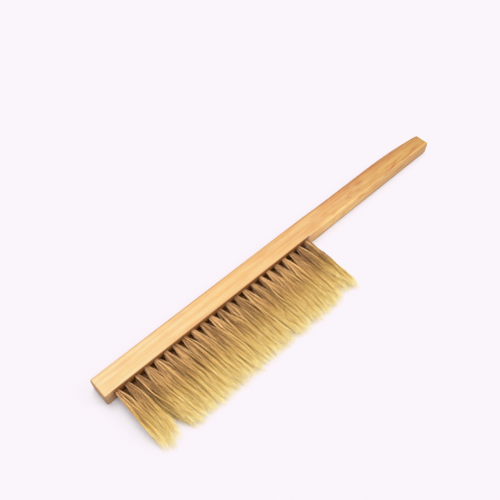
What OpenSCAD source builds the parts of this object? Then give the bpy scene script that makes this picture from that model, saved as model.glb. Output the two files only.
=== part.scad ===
// Bee brush: a straight hardwood bar with two staggered rows of hair tufts along one narrow side.
// The brush lies flat. X runs along the bar from the head end to the grip end, the tufts point towards -Y,
// and Z is up from the surface that it rests on. The origin is the middle of its footprint, on that surface.
// Places along the bar are given from the head end and called u.

/* [Bar] */
// Length of the bar
bar_l = 422; // [342:5:602]
// Width of the bar, from its back to the face that holds the tufts
bar_w = 20.8; // [17:0.2:40]
// Thickness of the bar
bar_t = 16; // [12:0.5:30]
// Rounding of the back edges beside the tufts
back_edge_r = 1.2; // [0.5:0.1:3]
// Rounding of the edges of the face that holds the tufts
face_edge_r = 0.6; // [0.3:0.1:1.5]
// Rounding of the top and bottom edges of the head end
head_edge_r = 1.4; // [0.3:0.1:2]
// Radius of the corners at the head end, seen from above
head_corner_r = 2; // [1:0.5:6]

/* [Grip] */
// Bare length of the bar from the last tuft's hole to the start of the grip
grip_offset = 4; // [4:1:30]
// Rounding of the two back edges along the grip
grip_back_r = 3; // [1:0.25:5]
// Rounding of the two front edges along the grip
grip_face_r = 2; // [1:0.25:5]
// Length over which the edges change from the head's rounding to the grip's
grip_blend_l = 40; // [5:1:40]
// How far the back draws in at the grip end
end_taper = 5; // [0.5:0.5:8]
// Length over which the back draws in
end_taper_l = 80; // [15:1:80]
// Radius of the corners at the grip end, seen from above
grip_corner_r = 2; // [1:0.5:4]
// Rounding of the grip end's top and underside, seen from the side
grip_end_r = 5.5; // [2:0.5:5.5]

/* [Tufts] */
// Number of tufts in each row
tuft_count = 23; // [4:1:28]
// Distance between neighbouring tufts of a row
tuft_pitch = 9.96; // [8:0.02:12]
// Distance from the head end to the upper row's first tuft; the lower row starts half a step later
first_tuft_u = 11.2; // [8:0.1:30]
// Distance of each row's axis from the middle of the bar's thickness
row_offset = 3.2; // [2.8:0.1:4]
// Free length of the hair
hair_l = 64.6; // [40:0.2:90]
// Lean of the first tuft towards the grip, in degrees
head_lean = 7; // [0:0.5:9]
// Lean of the last tuft towards the grip, in degrees
grip_lean = 0; // [0:0.5:4]
// Length of the ragged, rounded end of a tuft
ragged_l = 9; // [3:0.5:15]
// Clear gap between neighbouring tufts at their widest
tuft_gap = 0.4; // [0.3:0.1:1]
// Height of the lowest hair above the surface that the brush rests on
tip_lift = 0.1; // [0:0.1:1]

/* [Holes and anchors] */
// Diameter of a tuft's hole
hole_d = 4.6; // [3.6:0.1:5.6]
// Depth of a tuft's hole
hole_depth = 12; // [8:0.5:14.5]
// Clearance all round between a tuft and its hole
tuft_fit = 0.1; // [0.05:0.05:0.2]
// How much slimmer the free hair is than the tuft's foot, on the radius
neck_step = 0.2; // [0.1:0.05:0.4]
// Hair folded between the anchor and the bottom of the hole
fold_l = 1.4; // [0.8:0.1:3]
// Thickness of the anchor's flat wire
anchor_t = 0.35; // [0.25:0.05:0.6]
// Width of the anchor's flat wire
anchor_w = 1.7; // [1:0.1:3]
// How far each end of an anchor bites into the wall of its hole
anchor_bite = 0.45; // [0.2:0.05:0.8]
// Turn of the anchors out of the line of the row, in degrees
anchor_turn = 45; // [0:5:90]

/* [Hidden] */
CURVE_FN = 64;
CORNER_STEPS = 6;
BLEND_STEPS = 8;
NOSE_STEPS = 9;
NOSE_EDGE_R = 0.4;
RAGGED_STEP = 18;
RAGGED_BLUNT = 72;
NECK_BURIED = 1;
CUT_PAST = 1;
WOOD = [0.90, 0.74, 0.52];
HAIR_UPPER = [0.80, 0.67, 0.45];
HAIR_LOWER = [0.66, 0.50, 0.31];
WIRE = [0.74, 0.74, 0.72];

back_y = (hair_l + bar_w) / 2;
face_y = back_y - bar_w;
head_x = -bar_l / 2;
upper_z = bar_t / 2 + row_offset;
lower_z = bar_t / 2 - row_offset;
last_tuft_u = first_tuft_u + (tuft_count - 0.5) * tuft_pitch;
grip_u = last_tuft_u + grip_offset;
foot_r = hole_d / 2 - tuft_fit;
neck_r = foot_r - neck_step;
taper_r = (pow(end_taper_l, 2) + pow(end_taper, 2)) / (2 * end_taper);

// How far along the row a place is, from 0 at the first tuft to 1 at the last
function along_row(u) = (u - first_tuft_u) / (last_tuft_u - first_tuft_u);
// The lean of the hair at a place along the bar
function lean(u) = head_lean + (grip_lean - head_lean) * pow(along_row(u), 2);
// Where the tip of the hair comes to, along the bar
function tip_u(u) = u + hair_l * sin(lean(u));

// Tips are closest at the grip end of the rows, where the lean changes most from tuft to tuft.
tip_step = tip_u(last_tuft_u) - tip_u(last_tuft_u - tuft_pitch / 2);
tip_r = (min(2 * tip_step, norm([tip_step, 2 * row_offset])) - tuft_gap) / 2;
// Both rows sag by the angle that brings the lower row's tips down to the surface.
sag = asin((lower_z - tip_r - tip_lift) / (hair_l - ragged_l));

upper_u = [for (i = [0 : tuft_count - 1]) first_tuft_u + i * tuft_pitch];
lower_u = [for (i = [0 : tuft_count - 1]) first_tuft_u + (i + 0.5) * tuft_pitch];

// A node's name: its row, and its number in the row in two figures
function tuft_name(row, i) = str(row, "_tuft_", i < 9 ? "0" : "", i + 1);
upper_names = [for (i = [0 : len(upper_u) - 1]) tuft_name("upper", i)];
lower_names = [for (i = [0 : len(lower_u) - 1]) tuft_name("lower", i)];

// How far a rounded corner of radius r has drawn in, at distance d from the end
function round_in(r, d) = d < r ? r - sqrt(pow(r, 2) - pow(r - d, 2)) : 0;
// How far the back's long curve has drawn in, at distance d from the grip end
function taper_in(d) = d < end_taper_l ? taper_r - sqrt(pow(taper_r, 2) - pow(end_taper_l - d, 2)) : 0;
// 0 beside the tufts, 1 along the grip, and a smooth change between them
function grip_share(u) = let (t = min(1, max(0, (u - grip_u) / grip_blend_l))) t * t * (3 - 2 * t);
// How far the face that holds the tufts draws in, at the corners of both ends
function face_in(u) = round_in(head_corner_r, u) + round_in(grip_corner_r, bar_l - u);
// How far the back draws in: at the same corners, and along its long curve
function back_in(u) = face_in(u) + taper_in(bar_l - u);
// How far the top and the underside draw in, where the grip's end is rounded over and where the head's edges are
function nose_in(u) = round_in(grip_end_r, bar_l - u);
function flat_in(u) = round_in(head_edge_r, u) + nose_in(u);
function mix(a, b, share) = a + (b - a) * share;
// Rounding of a long edge: one value beside the tufts, one along the grip, and a fine edge at the very end
function edge_r(head_r, grip_r, u) = mix(mix(head_r, grip_r, grip_share(u)), NOSE_EDGE_R, nose_in(u) / grip_end_r);

// One corner of the bar's section: its place, its two directions inwards, and its radius
function corner(u, y, z, in_y, in_z, r, from) =
    [for (k = [0 : CORNER_STEPS])
        let (a = from + 90 * k / CORNER_STEPS)
        [head_x + u, y + in_y * r + r * cos(a), z + in_z * r + r * sin(a)]];

// The bar's section at u, as points that go round it once
function section(u) =
    let (
        back = back_y - back_in(u),
        face = face_y + face_in(u),
        top = bar_t - flat_in(u),
        base = flat_in(u),
        back_r = edge_r(back_edge_r, grip_back_r, u),
        face_r = edge_r(face_edge_r, grip_face_r, u)
    )
    concat(
        corner(u, back, top, -1, -1, back_r, 0),
        corner(u, face, top, 1, -1, face_r, 90),
        corner(u, face, base, 1, 1, face_r, 180),
        corner(u, back, base, -1, 1, back_r, 270)
    );

// Places of the sections: close together round both ends and where the grip begins
head_stations = [for (k = [0 : CORNER_STEPS]) head_corner_r * (1 - cos(90 * k / CORNER_STEPS))];
blend_stations = [for (k = [0 : BLEND_STEPS]) grip_u + grip_blend_l * k / BLEND_STEPS];
taper_stations = [for (k = [0 : BLEND_STEPS - 1])
    bar_l - end_taper_l + (end_taper_l - grip_end_r) * k / BLEND_STEPS];
grip_stations = [for (k = [0 : NOSE_STEPS]) bar_l - grip_end_r * (1 - sin(90 * k / NOSE_STEPS))];
stations = concat(head_stations, blend_stations, taper_stations, grip_stations);

// The bar before it is drilled: a skin over its sections, closed at both ends
module bar_blank() {
    sections = [for (u = stations) section(u)];
    n = len(sections[0]);
    last = (len(sections) - 1) * n;
    skin = [for (s = [0 : len(sections) - 2], k = [0 : n - 1], half = [0, 1])
        let (a = s * n + k, b = s * n + (k + 1) % n)
        half == 0 ? [a, a + n, b + n] : [a, b + n, b]];
    head_cap = [for (k = [0 : n - 1]) k];
    grip_cap = [for (k = [0 : n - 1]) last + n - 1 - k];
    polyhedron(points = [for (s = sections) each s], faces = concat(skin, [head_cap, grip_cap]), convexity = 4);
}

// Moves to the mouth of a hole, with +Z pointing out of the hole along the hair
module at_mouth(u, z) {
    translate([head_x + u, face_y, z]) rotate([90, 0, 0]) children();
}

// Moves to the places of the upper row's holes, then of the lower row's
module each_hole() {
    for (u = upper_u) at_mouth(u, upper_z) children();
    for (u = lower_u) at_mouth(u, lower_z) children();
}

// The anchor's flat wire, standing on the folded hair at the bottom of the hole
module anchor() {
    translate([0, 0, fold_l - hole_depth]) rotate([0, 0, anchor_turn])
        translate([-hole_d / 2 - anchor_bite, -anchor_t / 2, 0])
            cube([hole_d + 2 * anchor_bite, anchor_t, anchor_w]);
}

// The track that the anchor's two ends cut down the wall of the hole
module anchor_track() {
    translate([0, 0, fold_l - hole_depth]) rotate([0, 0, anchor_turn])
        translate([-hole_d / 2 - anchor_bite, -anchor_t / 2, 0])
            cube([hole_d + 2 * anchor_bite, anchor_t, hole_depth - fold_l + CUT_PAST]);
}

module handle() {
    color(WOOD) difference() {
        bar_blank();
        each_hole() translate([0, 0, -hole_depth]) cylinder(h = hole_depth + CUT_PAST, d = hole_d, $fn = CURVE_FN);
        each_hole() anchor_track();
    }
}

// The free hair: a slim cone from the neck to the widest place, and a ragged end rounded over
function ragged_point(a) = [tip_r * cos(a), hair_l - ragged_l + ragged_l * sin(a)];
hair_outline = concat(
    [[0, -NECK_BURIED], [neck_r, -NECK_BURIED]],
    [for (a = [0 : RAGGED_STEP : RAGGED_BLUNT]) ragged_point(a)],
    [[0, hair_l]]
);

// One tuft at its mouth: a round foot in the hole, split by its anchor, and the free hair
module tuft(u) {
    difference() {
        union() {
            translate([0, 0, -hole_depth]) cylinder(h = hole_depth, r = foot_r, $fn = CURVE_FN);
            rotate([sag, 0, 0]) rotate([0, lean(u), 0]) rotate_extrude($fn = CURVE_FN) polygon(hair_outline);
        }
        anchor();
    }
}

module upper_tuft(i) {
    color(HAIR_UPPER) at_mouth(upper_u[i], upper_z) tuft(upper_u[i]);
}

module lower_tuft(i) {
    color(HAIR_LOWER) at_mouth(lower_u[i], lower_z) tuft(lower_u[i]);
}

module upper_row_anchors() {
    color(WIRE) for (u = upper_u) at_mouth(u, upper_z) anchor();
}

module lower_row_anchors() {
    color(WIRE) for (u = lower_u) at_mouth(u, lower_z) anchor();
}

handle();
upper_row_anchors();
lower_row_anchors();
for (i = [0 : len(upper_u) - 1]) upper_tuft(i);
for (i = [0 : len(lower_u) - 1]) lower_tuft(i);
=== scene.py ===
# %% [markdown]
# # A bee brush
#
# A bee brush is one bar of pale hardwood with soft hair set in a narrow side. The hair sits in drilled
# holes, one tuft to a hole, in two staggered rows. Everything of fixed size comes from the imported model:
# the bar, its holes, the anchors and the place of each tuft. Here the bar gets its wood, and each tuft
# becomes real strands of hair.

# %% Load the fixed frame
import math
from types import SimpleNamespace

import bmesh
import bpy
import numpy as np
from mathutils import Matrix, Vector


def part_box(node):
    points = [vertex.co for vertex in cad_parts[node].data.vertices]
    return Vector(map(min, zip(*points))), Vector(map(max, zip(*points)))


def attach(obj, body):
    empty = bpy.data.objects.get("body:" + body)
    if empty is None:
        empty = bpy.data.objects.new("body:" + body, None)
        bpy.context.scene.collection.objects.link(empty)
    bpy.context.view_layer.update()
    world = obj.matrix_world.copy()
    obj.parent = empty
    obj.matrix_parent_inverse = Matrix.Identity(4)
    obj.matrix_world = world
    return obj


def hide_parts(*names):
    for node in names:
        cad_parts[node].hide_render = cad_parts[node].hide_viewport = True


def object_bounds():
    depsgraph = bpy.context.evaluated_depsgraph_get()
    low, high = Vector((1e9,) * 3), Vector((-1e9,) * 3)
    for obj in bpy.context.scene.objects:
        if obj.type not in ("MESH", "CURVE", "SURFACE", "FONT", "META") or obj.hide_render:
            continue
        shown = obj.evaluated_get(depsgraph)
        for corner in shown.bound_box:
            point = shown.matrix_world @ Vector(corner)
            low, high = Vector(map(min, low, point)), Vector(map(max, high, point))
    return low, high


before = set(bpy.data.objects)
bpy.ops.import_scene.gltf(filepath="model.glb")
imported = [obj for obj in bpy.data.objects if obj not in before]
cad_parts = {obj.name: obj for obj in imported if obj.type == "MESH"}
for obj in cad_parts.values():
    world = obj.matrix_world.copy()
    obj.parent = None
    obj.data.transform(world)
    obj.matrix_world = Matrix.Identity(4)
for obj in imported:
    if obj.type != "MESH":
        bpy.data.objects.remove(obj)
CAD_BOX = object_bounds()
MM = 0.001
scene = bpy.context.scene
print("CAD box in mm:", [[round(v / MM, 1) for v in corner] for corner in CAD_BOX])

# %% [markdown]
# ## The view
#
# The camera stands in front of the hair and to the left, and looks down steeply, so the bar runs away from
# it to the upper right. A lens of about 42 mm on a full-frame sensor keeps the near end only a little
# larger than the far one. The camera has no roll, so its rotation is a tilt about X, then a turn about Z.

# %% Place the camera
CAMERA_AT = Vector((-246, -185.4, 464.5)) * MM
LOOK_DOWN = math.radians(54.53)
HEADING = math.radians(-43.014)
LENS_MM = 42.44
SENSOR_MM = 36
NEAREST_SEEN = 10 * MM

camera_data = bpy.data.cameras.new("camera")
camera_data.lens = LENS_MM
camera_data.sensor_width = SENSOR_MM
camera_data.clip_start = NEAREST_SEEN
camera = bpy.data.objects.new("camera", camera_data)
camera.location = CAMERA_AT
camera.rotation_euler = (math.radians(90) - LOOK_DOWN, 0, HEADING)
scene.collection.objects.link(camera)
scene.camera = camera
print("camera looks down by", round(math.degrees(LOOK_DOWN), 1), "degrees")

# %% [markdown]
# ## Writing a material as a sum
#
# A material is a tree of nodes, and most of its nodes do one small sum. Built by hand, each node and each
# link takes a line, and the idea gets lost. So each helper here adds one node, links what goes into it, and
# gives back its output. Then a layer of colour reads like a formula.

# %% Add one node
def new_material(name):
    """A new material, its tree of nodes, and its shader."""
    material = bpy.data.materials.new(name)
    material.use_nodes = True
    tree = material.node_tree
    return material, tree, tree.nodes["Principled BSDF"]


def put(tree, kind, *inputs, **settings):
    """Add a node. Each input is a value, a socket to link, or None to leave it alone."""
    node = tree.nodes.new(kind)
    for key, value in settings.items():
        setattr(node, key, value)
    for socket, value in zip(node.inputs, inputs):
        if isinstance(value, bpy.types.NodeSocket):
            tree.links.new(value, socket)
        elif value is not None:
            socket.default_value = value
    return node.outputs[0]


def object_place(tree):
    """The place on the piece, in its own coordinates."""
    return tree.nodes.new("ShaderNodeTexCoord").outputs["Object"]


# %% Do sums with nodes
def maths(tree, operation, a, b=0.0, clamp=False):
    return put(tree, "ShaderNodeMath", a, b, operation=operation, use_clamp=clamp)


def product(tree, first, *others):
    """Multiply two or more values."""
    for other in others:
        first = maths(tree, "MULTIPLY", first, other)
    return first


def fade(tree, value, start, end, at_start=0.0, at_end=1.0):
    """A soft change from one level to another while a value goes from `start` to `end`."""
    return put(tree, "ShaderNodeMapRange", value, start, end, at_start, at_end,
               interpolation_type="SMOOTHSTEP")


# %% Mix colours with nodes
def tint(tree, share, base, colour):
    """Multiply a colour by another one, by a share from 0 to 1."""
    node = tree.nodes.new("ShaderNodeMix")
    node.data_type = "RGBA"
    node.blend_type = "MULTIPLY"
    tree.links.new(share, node.inputs[0])
    tree.links.new(base, node.inputs[6])
    node.inputs[7].default_value = (*colour, 1)
    return node.outputs[2]


def ramp(tree, value, stops):
    """Colours along a line from 0 to 1. Each stop is a place and a colour."""
    node = tree.nodes.new("ShaderNodeValToRGB")
    tree.links.new(value, node.inputs[0])
    elements = node.color_ramp.elements
    for element, (at, colour) in zip(elements, (stops[0], stops[-1])):
        element.position = at
        element.color = (*colour, 1)
    for at, colour in stops[1:-1]:
        elements.new(at).color = (*colour, 1)
    return node.outputs[0]


def grain(tree, place, along, across, detail):
    """Noise with `along` patches per metre along X, and `across` patches per metre across it."""
    noise = tree.nodes.new("ShaderNodeTexNoise")
    noise.inputs["Scale"].default_value = 1.0
    noise.inputs["Detail"].default_value = detail
    tree.links.new(put(tree, "ShaderNodeMapping", place, None, None, (along, across, across)),
                   noise.inputs["Vector"])
    return noise.outputs["Fac"]


# %% [markdown]
# ## Floor and light
#
# The brush lies on a plain white table in a bright tent. The table is one big square. Its white rises with
# the distance from the brush, so that it meets the white of the tent with no dark band between them.

# %% Lay the table
TABLE_HALF = 6.0
TABLE_NEAR = (0.63, 0.61, 0.63)
TABLE_FAR = (0.93, 0.91, 0.93)
WHITE_RISES_FROM, WHITE_RISES_TO = 0.7, 2.2

white_table, table_tree, table_shader = new_material("white_table")
from_brush = put(table_tree, "ShaderNodeVectorMath", object_place(table_tree), operation="LENGTH")
far_out = fade(table_tree, from_brush.node.outputs["Value"], WHITE_RISES_FROM, WHITE_RISES_TO)
table_tree.links.new(ramp(table_tree, far_out, ((0, TABLE_NEAR), (1, TABLE_FAR))),
                     table_shader.inputs["Base Color"])
table_shader.inputs["Roughness"].default_value = 0.6

table_mesh = bpy.data.meshes.new("table_top")
bm = bmesh.new()
bmesh.ops.create_grid(bm, x_segments=1, y_segments=1, size=TABLE_HALF)
bm.to_mesh(table_mesh)
bm.free()
table_mesh.materials.append(white_table)
table_top = bpy.data.objects.new("table_top", table_mesh)
scene.collection.objects.link(table_top)
print("table top,", 2 * TABLE_HALF, "m across")

# %% [markdown]
# The sky stands for the tent: an even, very slightly lilac white, which fills every shadow. One broad lamp
# stands at the right, in front of the hair, and shows the strands. A second one hangs overhead and puts a
# faint shadow under the bar.

# %% Hang the lamps
def hang_lamp(name, place, size, watts, colour):
    """A square lamp that shines at the middle of the brush."""
    data = bpy.data.lights.new(name, "AREA")
    data.shape = "SQUARE"
    data.size = size
    data.energy = watts
    data.color = colour
    lamp = bpy.data.objects.new(name, data)
    lamp.location = place
    lamp.rotation_euler = (-Vector(place)).to_track_quat("-Z", "Y").to_euler()
    scene.collection.objects.link(lamp)
    print(name, "stands", round(Vector(place).length, 2), "m away")


hang_lamp("front_right_lamp", (1.5, -1.1, 1.3), 1.2, 40, (1, 0.98, 0.95))
hang_lamp("overhead_lamp", (0.2, 0.5, 2.0), 1.4, 26, (1, 1, 1))

# %% Light the tent
TENT_WHITE = (0.97, 0.945, 0.98)
TENT_STRENGTH = 1.32

light_tent = bpy.data.worlds.new("light_tent")
light_tent.use_nodes = True
tent = light_tent.node_tree.nodes["Background"]
tent.inputs["Color"].default_value = (*TENT_WHITE, 1)
tent.inputs["Strength"].default_value = TENT_STRENGTH
scene.world = light_tent
print("tent strength", TENT_STRENGTH)

# %% [markdown]
# The exposure is high, so that the table is burnt out almost to white. A soft shoulder in the view's curves
# keeps the brightest places just under white, with the tent's faint lilac. Tones up to 0.6 stay as they
# are.

# %% Soften the highlights
PAPER_WHITE = (0.957, 0.912, 0.957)
BRIGHTEST_IN = 1.22
MOSTLY_WHITE_IN = 1.02

scene.view_settings.view_transform = "Standard"
scene.view_settings.use_curve_mapping = True
curves = scene.view_settings.curve_mapping
curves.clip_max_x = 2.0
curves.extend = "HORIZONTAL"
for curve, white in zip(curves.curves, PAPER_WHITE):
    curve.points[0].location = (0, 0)
    curve.points[1].location = (BRIGHTEST_IN, white)
    for tone_in, tone_out in ((0.3, 0.3), (0.6, 0.6), (0.85, 0.81), (MOSTLY_WHITE_IN, 0.96 * white)):
        curve.points.new(tone_in, tone_out)
curves.update()
print("brightest tone:", PAPER_WHITE)

# %% [markdown]
# ## Where things are on the bar
#
# Wear, painted light and painted shade follow the bar's own edges and the last tuft, so these places are
# read from the packed model. A packed tuft is a plain solid with a foot in its hole. The middle of the foot
# is the middle of the hole, and its far end is where the hair stops.

# %% Find the holes and the edges
HEAD_X = CAD_BOX[0][0]
BAR_LENGTH = CAD_BOX[1][0] - HEAD_X
BACK_Y = CAD_BOX[1][1]
FACE_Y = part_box("handle")[0].y
TUFTS = {
    row: sorted(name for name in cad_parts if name.startswith(f"{row}_tuft_"))
    for row in ("upper", "lower")
}


def tuft_axis(node):
    """Where a packed tuft leaves its hole, and where its free end is."""
    points = np.array([v.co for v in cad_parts[node].data.vertices])
    foot = points[points[:, 1] > FACE_Y + 1 * MM]
    mouth = (foot.min(axis=0) + foot.max(axis=0)) / 2
    mouth[1] = FACE_Y
    end = points[points[:, 1] < points[:, 1].min() + 0.3 * MM]
    return mouth, end.mean(axis=0)


def tuft_place(node):
    """How far a tuft is from the head end, in millimetres."""
    return (tuft_axis(node)[0][0] - HEAD_X) / MM


LAST_TUFT_X = tuft_axis(TUFTS["lower"][-1])[0][0]
print("the last tuft is", round(tuft_place(TUFTS["lower"][-1]), 1), "mm from the head end")

# %% [markdown]
# ## The wood
#
# The bar is one solid piece of pale hardwood, so its grain is made as a solid too. It is worked out from the
# place inside the wood, not painted on the faces. Then it shows as long streaks on the sides and as arcs on
# the end faces, and it agrees at every edge. Wear, painted light and painted shade are told by distances
# from the bar's edges, in millimetres.

# %% Start the wood with its distances
bar_wood, wood, wood_shader = new_material("bar_wood")
in_wood = object_place(wood)
wood_xyz = wood.nodes.new("ShaderNodeSeparateXYZ")
wood.links.new(in_wood, wood_xyz.inputs[0])
x, y, z = wood_xyz.outputs


def mm_between(start, end):
    """The distance from one place to another, in millimetres. Either may be a socket."""
    return maths(wood, "DIVIDE", maths(wood, "SUBTRACT", end, start), MM)


from_head = mm_between(HEAD_X, x)
past_tufts = mm_between(LAST_TUFT_X, x)
from_back = mm_between(y, BACK_Y)
from_face = mm_between(FACE_Y, y)
above_table = mm_between(0.0, z)
print("bar_wood starts with", len(wood.nodes), "nodes")

# %% [markdown]
# Growth rings are circles round the heart of the tree, which lies outside the bar. The distance from the
# heart counts the rings, and a slow noise makes them wander. Only the late part of each ring is dark.
# Fibres are a fine noise stretched along the bar. Both are fainter on the clean head than on the grip,
# where dirt fills the grain.

# %% Grow the rings and the fibres
HEART_Y = 85 * MM
HEART_Z = -30 * MM
RINGS_PER_METRE = 260
RING_WANDER = 6

across = maths(wood, "SUBTRACT", y, HEART_Y)
upwards = maths(wood, "SUBTRACT", z, HEART_Z)
squares = maths(wood, "ADD", product(wood, across, across), product(wood, upwards, upwards))
wander = product(wood, grain(wood, in_wood, 6, 40, 2), RING_WANDER)
rings = maths(wood, "ADD", product(wood, maths(wood, "SQRT", squares), RINGS_PER_METRE), wander)
late_wood = fade(wood, maths(wood, "PINGPONG", rings, 0.5), 0.34, 0.5)

fibres = fade(wood, grain(wood, in_wood, 16, 520, 2), 0.50, 0.68)
clouds = fade(wood, grain(wood, in_wood, 34, 150, 2), 0.5, 0.8, 0.0, 0.5)
dark_grain = maths(wood, "ADD", product(wood, late_wood, 0.45), product(wood, fibres, 0.6))
dark_grain = product(wood, dark_grain, fade(wood, past_tufts, -84, 36, 0.35, 1.0))
dark_grain = maths(wood, "ADD", dark_grain, clouds, clamp=True)
print("growth rings are", round(1 / RINGS_PER_METRE / MM, 1), "mm apart")

# %% [markdown]
# The wood is palest at the head end and more tanned towards the grip, which hands have oiled. A ramp of
# tones along the bar sets that first. Each layer of grain then multiplies it by a tint, by as much as the
# layer shows at that place.

# %% Tone the bar and lay the grain over it
BAR_TONES = (
    (0.00, (0.530, 0.348, 0.176)),
    (0.10, (0.530, 0.340, 0.166)),
    (0.19, (0.522, 0.320, 0.148)),
    (0.32, (0.497, 0.284, 0.108)),
    (0.47, (0.465, 0.258, 0.092)),
    (0.68, (0.408, 0.226, 0.077)),
    (0.85, (0.355, 0.196, 0.046)),
    (1.00, (0.300, 0.158, 0.025)),
)
warm_patches = fade(wood, grain(wood, in_wood, 55, 110, 1), 0.40, 0.62)
pores = fade(wood, grain(wood, in_wood, 140, 4200, 1), 0.60, 0.72, 0.0, 0.45)
bands = fade(wood, grain(wood, in_wood, 9, 330, 2), 0.46, 0.60, 0.0, 0.8)
GRAIN_LAYERS = (
    (dark_grain, (0.82, 0.70, 0.55)),
    (warm_patches, (1.0, 0.95, 0.86)),
    (pores, (0.62, 0.46, 0.30)),
    (bands, (0.90, 0.82, 0.66)),
)
wood_colour = ramp(wood, maths(wood, "DIVIDE", from_head, BAR_LENGTH / MM), BAR_TONES)
for share, colour in GRAIN_LAYERS:
    wood_colour = tint(wood, share, wood_colour, colour)
print(len(BAR_TONES), "tones along the bar,", len(GRAIN_LAYERS), "layers of grain")

# %% [markdown]
# Hands leave blotches along the grip, and the grip is darker towards its back, in uneven clouds. Painted
# shade runs along the whole back edge. A painted highlight lightens the front of the grip near the tufts,
# and a painted contact shadow darkens its lower edge. Painted shade darkens the face between the tufts,
# under the hair. The end grain is darker, and the shade of the end face is painted into it too.

# %% Add the wear and the painted light and shade
# Darker towards the back of the grip, in uneven clouds.
back_of_grip_clouds = fade(wood, grain(wood, in_wood, 22, 90, 3), 0.35, 0.62, 0.25, 1.0)
darker_back_of_grip = product(wood, fade(wood, from_back, 11, 4), fade(wood, past_tufts, -24, 76), back_of_grip_clouds)
blotches = product(wood, fade(wood, grain(wood, in_wood, 60, 260, 3), 0.52, 0.66),
                   fade(wood, past_tufts, -14, 66))
on_grip = fade(wood, past_tufts, -4, 26)
# A painted highlight: the front of the grip near the tufts is lightened, as if lit from the front.
painted_front_highlight = product(wood, fade(wood, from_face, 4.0, 0.5), on_grip, fade(wood, past_tufts, 126, 46, 0.3, 1.0))
# A painted contact shadow: the lower edge of the grip is darkened where it meets the table.
painted_contact_shadow = product(wood, fade(wood, above_table, 4.2, 1.8), on_grip)
# Painted shade: the face between the tufts is darkened, as under the hair.
painted_shade_beside_tufts = product(wood, fade(wood, from_face, 1.0, 0.2), fade(wood, past_tufts, 2.2, -1.8),
                       fade(wood, from_head, 5, 10, 0.55, 1.0))
WEAR_AND_PAINTED_LIGHT_LAYERS = (
    # Painted shade along the whole back edge, where the rounding turns away from the light.
    (fade(wood, from_back, 4.5, 0.5), (0.80, 0.72, 0.60)),
    (darker_back_of_grip, (0.88, 0.72, 0.50)),
    (blotches, (0.86, 0.68, 0.42)),
    (painted_front_highlight, (1.22, 1.28, 1.16)),
    (painted_contact_shadow, (0.42, 0.34, 0.30)),
    (painted_shade_beside_tufts, (0.43, 0.29, 0.14)),
    # The end grain is darker, and the shade of the head's end face is painted into it too.
    (fade(wood, from_head, 1.6, 0.4), (0.50, 0.42, 0.30)),
)
for share, colour in WEAR_AND_PAINTED_LIGHT_LAYERS:
    wood_colour = tint(wood, share, wood_colour, colour)
wood.links.new(wood_colour, wood_shader.inputs["Base Color"])
print(len(WEAR_AND_PAINTED_LIGHT_LAYERS), "layers of wear")

# %% Raise the pores and put the wood on the bar
PORE_DEPTH = 0.1 * MM

pore_bump = wood.nodes.new("ShaderNodeBump")
pore_bump.inputs["Strength"].default_value = 0.25
pore_bump.inputs["Distance"].default_value = PORE_DEPTH
wood.links.new(grain(wood, in_wood, 45, 2400, 3), pore_bump.inputs["Height"])
wood.links.new(pore_bump.outputs[0], wood_shader.inputs["Normal"])
wood_shader.inputs["Roughness"].default_value = 0.5

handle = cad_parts["handle"]
handle.data.materials.clear()
handle.data.materials.append(bar_wood)
print("bar_wood has", len(wood.nodes), "nodes")

# %% [markdown]
# ## The anchors
#
# A short flat wire holds each tuft at the bottom of its hole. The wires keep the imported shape. Drawn wire
# has fine lines, so the steel's tone and its roughness follow one stretched noise.

# %% Give the anchors their metal
wire_steel, wire, wire_shader = new_material("wire_steel")
die_lines = grain(wire, object_place(wire), 400, 9000, 2)
wire.links.new(ramp(wire, die_lines, ((0.3, (0.40, 0.40, 0.38)), (0.7, (0.62, 0.62, 0.60)))),
               wire_shader.inputs["Base Color"])
wire.links.new(fade(wire, die_lines, 0.3, 0.7, 0.28, 0.45), wire_shader.inputs["Roughness"])
wire_shader.inputs["Metallic"].default_value = 1.0
for row in TUFTS:
    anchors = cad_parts[f"{row}_row_anchors"]
    anchors.data.materials.clear()
    anchors.data.materials.append(wire_steel)
    print(anchors.name, "has", len(anchors.data.polygons), "faces")

# %% [markdown]
# ## One bundle of straight rods
#
# A strand is a slim rod with three sides. A few hundred stand side by side, and one `bisect_plane` call
# cuts every rod at the same height, so a whole bundle gets its rings in a few calls. The bundle is made
# once. Each tuft then combs a copy of it into its own shape, which is far quicker than making each strand.

# %% Make the bundle
STRANDS = 380
RINGS = 8
ROD_STEP = 4.0

bundle = bmesh.new()
for i in range(STRANDS):
    bmesh.ops.create_cone(bundle, cap_ends=True, cap_tris=True, segments=3, radius1=1, radius2=1, depth=1,
                          matrix=Matrix.Translation((i * ROD_STEP, 0, 0.5)))
for k in range(1, RINGS):
    bmesh.ops.bisect_plane(bundle, geom=bundle.verts[:] + bundle.edges[:] + bundle.faces[:],
                           plane_co=(0, 0, k / RINGS), plane_no=(0, 0, 1))
bundle_mesh = bpy.data.meshes.new("straight_bundle")
bundle.to_mesh(bundle_mesh)
bundle.free()
bundle_mesh.polygons.foreach_set("use_smooth", np.ones(len(bundle_mesh.polygons), dtype=bool))
print("one bundle:", len(bundle_mesh.vertices), "points,", len(bundle_mesh.polygons), "faces")

# %% Note each point's strand, side and height
rods = np.zeros(len(bundle_mesh.vertices) * 3)
bundle_mesh.vertices.foreach_get("co", rods)
rods = rods.reshape(-1, 3)
STRAND = np.rint(rods[:, 0] / ROD_STEP).astype(int)
SIDE = rods[:, :2] - np.stack([STRAND * ROD_STEP, 0 * STRAND], axis=1)
ALONG = rods[:, 2]
print("points in each strand:", np.bincount(STRAND).min(), "to", np.bincount(STRAND).max())

# %% [markdown]
# The hair's colour changes along a strand and from strand to strand. A map gives both. Up the map is along
# the strand, and the map is split into strips from dark to light tones. Each tuft chooses a strip for each
# strand. The end caps are drawn out a little on the map, so that they have an area there.

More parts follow.
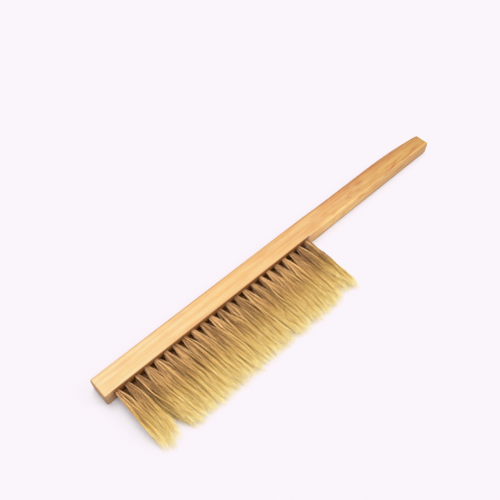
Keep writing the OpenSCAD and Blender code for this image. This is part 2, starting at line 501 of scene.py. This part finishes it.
# %% Lay the map
TONES = 40
MAP_EDGE = 0.02
CAP_HALF = 0.012
STRIP_EDGE = 0.2
CORNER_STEP = 0.3

corner_vertex = np.zeros(len(bundle_mesh.loops), dtype=np.int64)
bundle_mesh.loops.foreach_get("vertex_index", corner_vertex)
corner_place = np.rint(np.arctan2(SIDE[:, 1], SIDE[:, 0]) / (2 * math.pi / 3)) % 3
map_v = (MAP_EDGE + (1 - 2 * MAP_EDGE) * ALONG)[corner_vertex]
for face in bundle_mesh.polygons:
    if len(face.vertices) == 3:
        map_v[list(face.loop_indices)] += (-CAP_HALF, CAP_HALF, 0.0)
bundle_mesh.uv_layers.new(name="OFBake")


def lay_map(mesh, tone):
    """Give each strand the strip of the map that holds its tone."""
    strip = np.clip(np.floor(tone * TONES), 0, TONES - 1)
    map_u = ((strip[STRAND] + STRIP_EDGE + CORNER_STEP * corner_place) / TONES)[corner_vertex]
    flat = np.stack([map_u, map_v], axis=1).ravel().astype(np.float32)
    mesh.uv_layers["OFBake"].data.foreach_set("uv", flat)


print("the map has", TONES, "strips")

# %% [markdown]
# ## Combing a tuft
#
# Each strand starts inside its hole and leaves it straight, packed tight. Then it flares out to meet the
# tufts beside it. In the hole the strands lie like the seeds of a sunflower, which fills a circle evenly:
# each one is turned on from the last by the golden angle, a little further out.

# %% Pack the strands in a hole
ROOT_DEEP = 2.5 * MM
ROOT_RADIUS = 2.05 * MM
STRAND_RADIUS = 0.13 * MM
GOLDEN = math.pi * (3 - math.sqrt(5))

number = np.arange(STRANDS)
outwards = np.sqrt((number + 0.5) / STRANDS)
DISC = np.stack([outwards * np.cos(number * GOLDEN), outwards * np.sin(number * GOLDEN)], axis=1)
ROOT = DISC * ROOT_RADIUS
print(STRANDS, "strands in a circle of", round(2 * np.abs(ROOT).max() / MM, 1), "mm")

# %% [markdown]
# Hair doesn't spread evenly. It gathers in locks, which makes the streaks and the pointed, ragged ends. A
# strand joins the lock that starts nearest to it. A whole lock then shares its bend, its wave, its length
# and the kick with which it leaves the hole. Each tuft has a seed of its own, so every run gives the same
# hair.

# %% Gather the strands in locks
LOCKS = 30
LOCKS_OUT_TO = 0.9
STRAND_STRAY = 0.10
LOCK_BEND = np.array((1.2, 0.8)) * MM
LOCK_WAVE = 0.7 * MM
LOCK_KICK = np.array((1.6, 0.8)) * MM


def gather_locks(rng):
    """Which lock each strand joins, and the ways that each strand takes from its lock."""
    at = rng.uniform(-LOCKS_OUT_TO, LOCKS_OUT_TO, (LOCKS, 2))
    strayed = DISC[:, None] + rng.normal(0, STRAND_STRAY, (STRANDS, 1, 2))
    joins = np.argmin(((strayed - at[None]) ** 2).sum(axis=2), axis=1)
    bend = rng.normal(0, 1, (LOCKS, 2)) * LOCK_BEND
    wave = rng.normal(0, 1, (LOCKS, 2)) * LOCK_WAVE
    kick = rng.normal(0, 1, (LOCKS, 2)) * LOCK_KICK
    long = rng.uniform(0.95, 1.03, LOCKS)
    return SimpleNamespace(joins=joins, at=at[joins], bend=bend[joins], wave=wave[joins], kick=kick[joins],
                           long=long[joins])


trial = gather_locks(np.random.default_rng(0))
print("strands in a lock: up to", np.bincount(trial.joins).max())

# %% [markdown]
# Within a lock every strand still goes its own way a little. Some are loose and end away from their lock, a
# few are badly bent, and a few cross the tuft. A tuft that is pushed aside is pressed slimmer, because its
# neighbours press back.

# %% Give each strand ways of its own
SPREAD = np.array((6.4, 3.6)) * MM
PRESSED_MOST = 0.3
PRESSED_PER_MM = 0.03
TONE_FROM_LOCK = 0.75
STRAND_BEND = 0.45 * MM
STRAND_WAVE = 0.2 * MM
LOCK_TIP = 0.42 * MM
LOOSE_TIP = 0.9 * MM
LOOSE_SHARE, LOOSE_BEND = 0.16, 3
BENT_SHARE, BENT_BEND = 0.06, 5
CROSSING_SHARE, CROSSING_OUT_TO = 0.05, 1.3


def style_strands(rng, locks, push):
    """Each strand's tone, thickness, place at the tip, bend and wave."""
    tone = TONE_FROM_LOCK * rng.beta(0.5, 0.5, LOCKS)[locks.joins]
    tone += (1 - TONE_FROM_LOCK) * rng.beta(0.6, 0.6, STRANDS)
    girth = np.clip(np.exp(rng.normal(0, 0.32, STRANDS)), 0.6, 1.9)
    spread = SPREAD * rng.uniform(0.92, 1.08) * (1 - min(PRESSED_MOST, PRESSED_PER_MM * abs(push) / MM))
    loose = (rng.random(STRANDS) < LOOSE_SHARE)[:, None]
    loose_tip = DISC * spread + rng.normal(0, LOOSE_TIP, (STRANDS, 2))
    lock_tip = locks.at * spread + rng.normal(0, LOCK_TIP, (STRANDS, 2))
    tip = np.where(loose, loose_tip, lock_tip)
    bend = rng.normal(0, STRAND_BEND, (STRANDS, 2)) * np.where(loose, LOOSE_BEND, 1)
    wave = rng.normal(0, STRAND_WAVE, (STRANDS, 2)) + np.where(loose, 0, locks.wave)
    turns = rng.uniform(0.8, 1.8, LOCKS)[locks.joins] + rng.normal(0, 0.05, STRANDS)
    start = rng.uniform(0, 2 * math.pi, LOCKS)[locks.joins]
    bend[rng.random(STRANDS) < BENT_SHARE] *= BENT_BEND
    crossing = rng.random(STRANDS) < CROSSING_SHARE
    tip[crossing] = rng.uniform(-CROSSING_OUT_TO, CROSSING_OUT_TO, (crossing.sum(), 2)) * spread
    return SimpleNamespace(tone=tone, girth=girth, tip=tip, bend=bend + locks.bend, wave=wave, turns=turns,
                           start=start)


print("tones run from", round(style_strands(np.random.default_rng(0), trial, 0).tone.min(), 2), "upwards")

# %% [markdown]
# Nothing may sink below the table, and the hair ends in a straight line at both ends of the brush. A hard
# limit would flatten the strands that meet it. So the limits are soft: a strand slows down before it gets
# there.

# %% Hold hair back softly
def keep_below(value, limit, soft):
    return value - soft * np.logaddexp(0, (value - limit) / soft)


def keep_above(value, limit, soft):
    return value + soft * np.logaddexp(0, (limit - value) / soft)


print("held at 1.0:", [round(float(keep_below(v, 1.0, 0.2)), 2) for v in (0.5, 1.0, 1.5)])

# %% [markdown]
# Combing works on all points of a bundle at once. `q` says how far along its free length a point is: 0 at
# the mouth of the hole and 1 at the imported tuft's end. Every way of bending is then a curve in `q`.

# %% Bend the strands
DROOP = 1.2 * MM
KICKED_BY = 0.2
WAVY_BY = 1 / 3


def sideways(q, hair, locks, quick, push, swing):
    """How far each point is from the axis of its tuft, along the row and up."""
    flare = 1 - (1 - np.clip(q, 0, 1)) ** quick[STRAND][:, None]
    kicked = np.clip(q / KICKED_BY, 0, 1) * np.clip(1 - q, 0, 1) ** 2
    start = hair.start[STRAND][:, None]
    waved = np.sin(q * 2 * math.pi * hair.turns[STRAND][:, None] + start) - np.sin(start)
    aside = ROOT[STRAND] + (hair.tip - ROOT)[STRAND] * flare
    aside += hair.bend[STRAND] * q ** 2
    aside += locks.kick[STRAND] * kicked
    aside += hair.wave[STRAND] * waved * np.minimum(1, q / WAVY_BY)
    aside[:, :1] += swing * q ** 1.5 + push * q ** 2
    aside[:, 1:] -= DROOP * q ** 2
    return aside


print("a tuft droops by", round(DROOP / MM, 1), "mm at its tip")

# %% [markdown]
# A combed tuft is its axis, plus what its strands do to the side of it, held in at both ends of the brush
# and above the table. The rods get their thickness last, so that the limits don't squash them. A rod tapers
# to a quarter of its thickness at the tip.

# %% Comb one tuft
TUFT_SWING = 0.9 * MM
SIDE_SOFT = 0.5 * MM
TABLE_SOFT = 0.8 * MM
LOWEST_HAIR, HIGHEST_LOWEST_HAIR = 0.15 * MM, 0.65 * MM
SHORTEST, LENGTH_RANGE = 0.69, 0.35
TAPER = ((0, 0.6, 0.9, 1.0), (1.0, 0.95, 0.6, 0.25))


def comb(node, rng, quick, push, reach):
    """The places of a bundle's points once it is combed, and each strand's tone from 0 to 1.

    Hair starts to spread at once where `quick` is high. `push` moves its free end along the bar. `reach`
    holds the places along X that it is combed in between: one towards the head, and one towards the grip for
    the root, the lower middle and the tip.
    """
    mouth, end = tuft_axis(node)
    free = np.linalg.norm(end - mouth)
    locks = gather_locks(rng)
    hair = style_strands(rng, locks, push)
    quick = quick * rng.uniform(0.8, 1.25, LOCKS)[locks.joins]
    long = free * rng.uniform(0.965, 1.03) * locks.long
    long = long * (SHORTEST + LENGTH_RANGE * rng.random(STRANDS) ** 1.5)
    swing = rng.normal(0, TUFT_SWING)
    lowest = rng.uniform(LOWEST_HAIR, HIGHEST_LOWEST_HAIR, STRANDS)[STRAND]

    out = -ROOT_DEEP + ALONG * (long[STRAND] + ROOT_DEEP)
    q = np.clip(out / free, 0, None)[:, None]
    aside = sideways(q, hair, locks, quick, push, swing)
    point = mouth + out[:, None] * (end - mouth) / free
    grip_side = np.interp(q[:, 0], (0, 0.25, 1), reach[1:])
    point[:, 0] = keep_below(point[:, 0] + aside[:, 0], grip_side, SIDE_SOFT)
    point[:, 0] = keep_above(point[:, 0], reach[0], SIDE_SOFT)
    point[:, 2] = keep_above(point[:, 2] + aside[:, 1], lowest, TABLE_SOFT)

    thick = STRAND_RADIUS * hair.girth[STRAND] * np.interp(ALONG, *TAPER)
    point[:, 0] += SIDE[:, 0] * thick
    point[:, 2] += SIDE[:, 1] * thick
    return point, hair.tone


trial_points, _ = comb(TUFTS["upper"][0], np.random.default_rng(0), 3.0, 0.0, (-1, 1, 1, 1))
print("the highest hair of a tuft combed on trial is at", round(trial_points[:, 2].max() / MM, 1), "mm")

# %% [markdown]
# ## The hair's colour
#
# Undyed hair is dark tan at the root and bleached to cream at the tip, and no two locks match. The lower row
# lies in the shade of the upper one, and that shade is painted into its darker, browner root tones. The map
# gives both directions of change: it runs along the strand one way, and from dark to light tones the other
# way.

# %% Choose the hair's tones
UPPER_TONES = (
    (0.00, (0.40, 0.20, 0.09)),
    (0.04, (0.62, 0.36, 0.18)),
    (0.13, (0.78, 0.47, 0.20)),
    (0.34, (0.92, 0.59, 0.232)),
    (0.48, (0.86, 0.55, 0.198)),
    (0.62, (0.71, 0.45, 0.142)),
    (0.80, (0.80, 0.56, 0.168)),
    (1.00, (0.94, 0.81, 0.42)),
)
# The lower row's dark root tones are painted shade, from the upper row above it.
LOWER_TONES = (
    (0.00, (0.20, 0.07, 0.02)),
    (0.10, (0.36, 0.15, 0.045)),
    (0.25, (0.70, 0.39, 0.13)),
    (0.50, (0.74, 0.46, 0.15)),
    (0.80, (0.80, 0.56, 0.168)),
    (1.00, (0.94, 0.81, 0.42)),
)
DARK_HAIR = (0.26, 0.17, 0.09)
print("tones along a strand:", len(UPPER_TONES), "in the upper row,", len(LOWER_TONES), "in the lower row")

# %% [markdown]
# The tones of two strands differ most near the root and fade into each other towards the tip, because the
# tips are all bleached. Rounding the tone to its strip keeps the edges of a strip from mixing.

# %% Build the hair materials
def hair_material(name, tones):
    material, tree, shader = new_material(name)
    uv = tree.nodes.new("ShaderNodeUVMap")
    uv.uv_map = "OFBake"
    split = tree.nodes.new("ShaderNodeSeparateXYZ")
    tree.links.new(uv.outputs[0], split.inputs[0])
    tone, along, _ = split.outputs
    strip = maths(tree, "FLOOR", product(tree, tone, TONES))
    darkness = maths(tree, "SUBTRACT", 1.0, maths(tree, "DIVIDE", strip, TONES))
    dark = product(tree, darkness, fade(tree, along, 0.80, 0.42))
    tree.links.new(tint(tree, dark, ramp(tree, along, tones), DARK_HAIR), shader.inputs["Base Color"])
    shader.inputs["Roughness"].default_value = 0.45
    shader.inputs["Specular IOR Level"].default_value = 0.3
    print(name, "has", len(tree.nodes), "nodes")
    return material


FINISH = {
    "upper": hair_material("upper_hair", UPPER_TONES),
    "lower": hair_material("lower_hair", LOWER_TONES),
}

# %% [markdown]
# ## Every tuft
#
# The hair has parted in two places: widely near the head end, and a little near the grip. Beside a parting
# each tuft is pushed away from it, less and less with distance. Places along the bar are given from the
# head end, in millimetres.

# %% Part the hair
PARTINGS = (
    SimpleNamespace(at=25.8, most=12.0, reach=7.0),
    SimpleNamespace(at=218.0, most=3.4, reach=7.0),
)


def parting_push(place):
    """How far a tuft's free end is pushed along the bar."""
    push = 0.0
    for parting in PARTINGS:
        gap = place - parting.at
        push += math.copysign(parting.most, gap) * math.exp(-abs(gap) / parting.reach)
    return push * MM


print("the first tuft is pushed by", round(parting_push(tuft_place(TUFTS["upper"][0])) / MM, 1), "mm")

# %% [markdown]
# The upper row stays in narrow bunches for longer than the lower row, which spreads at once and fills the
# gaps between them. Each combed piece replaces its packed tuft and rides on the same body.

# %% Comb every tuft
QUICK = {"upper": 2.8, "lower": 9.0}
FIRST_SEED = {"upper": 0, "lower": 100}
HAIR_STARTS = 9.6
HAIR_ENDS = {"upper": (232.6, 231.6, 233.5), "lower": (237.4, 235.0, 235.0)}

pieces = []
for row, nodes in TUFTS.items():
    reach = [HEAD_X + place * MM for place in (HAIR_STARTS, *HAIR_ENDS[row])]
    for number, node in enumerate(nodes):
        rng = np.random.default_rng(FIRST_SEED[row] + number)
        points, tone = comb(node, rng, QUICK[row], parting_push(tuft_place(node)), reach)
        mesh = bundle_mesh.copy()
        mesh.name = f"{row}_hair_{node[-2:]}"
        mesh.vertices.foreach_set("co", points.ravel())
        lay_map(mesh, tone)
        mesh.materials.append(FINISH[row])
        piece = bpy.data.objects.new(mesh.name, mesh)
        scene.collection.objects.link(piece)
        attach(piece, "root")
        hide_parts(node)
        pieces.append(piece)
print(len(pieces), "tufts,", sum(len(p.data.polygons) for p in pieces), "faces")

# %% [markdown]
# ## Finish
#
# The hair may stand a little proud of the imported box.

# %% Finish
bpy.context.view_layer.update()
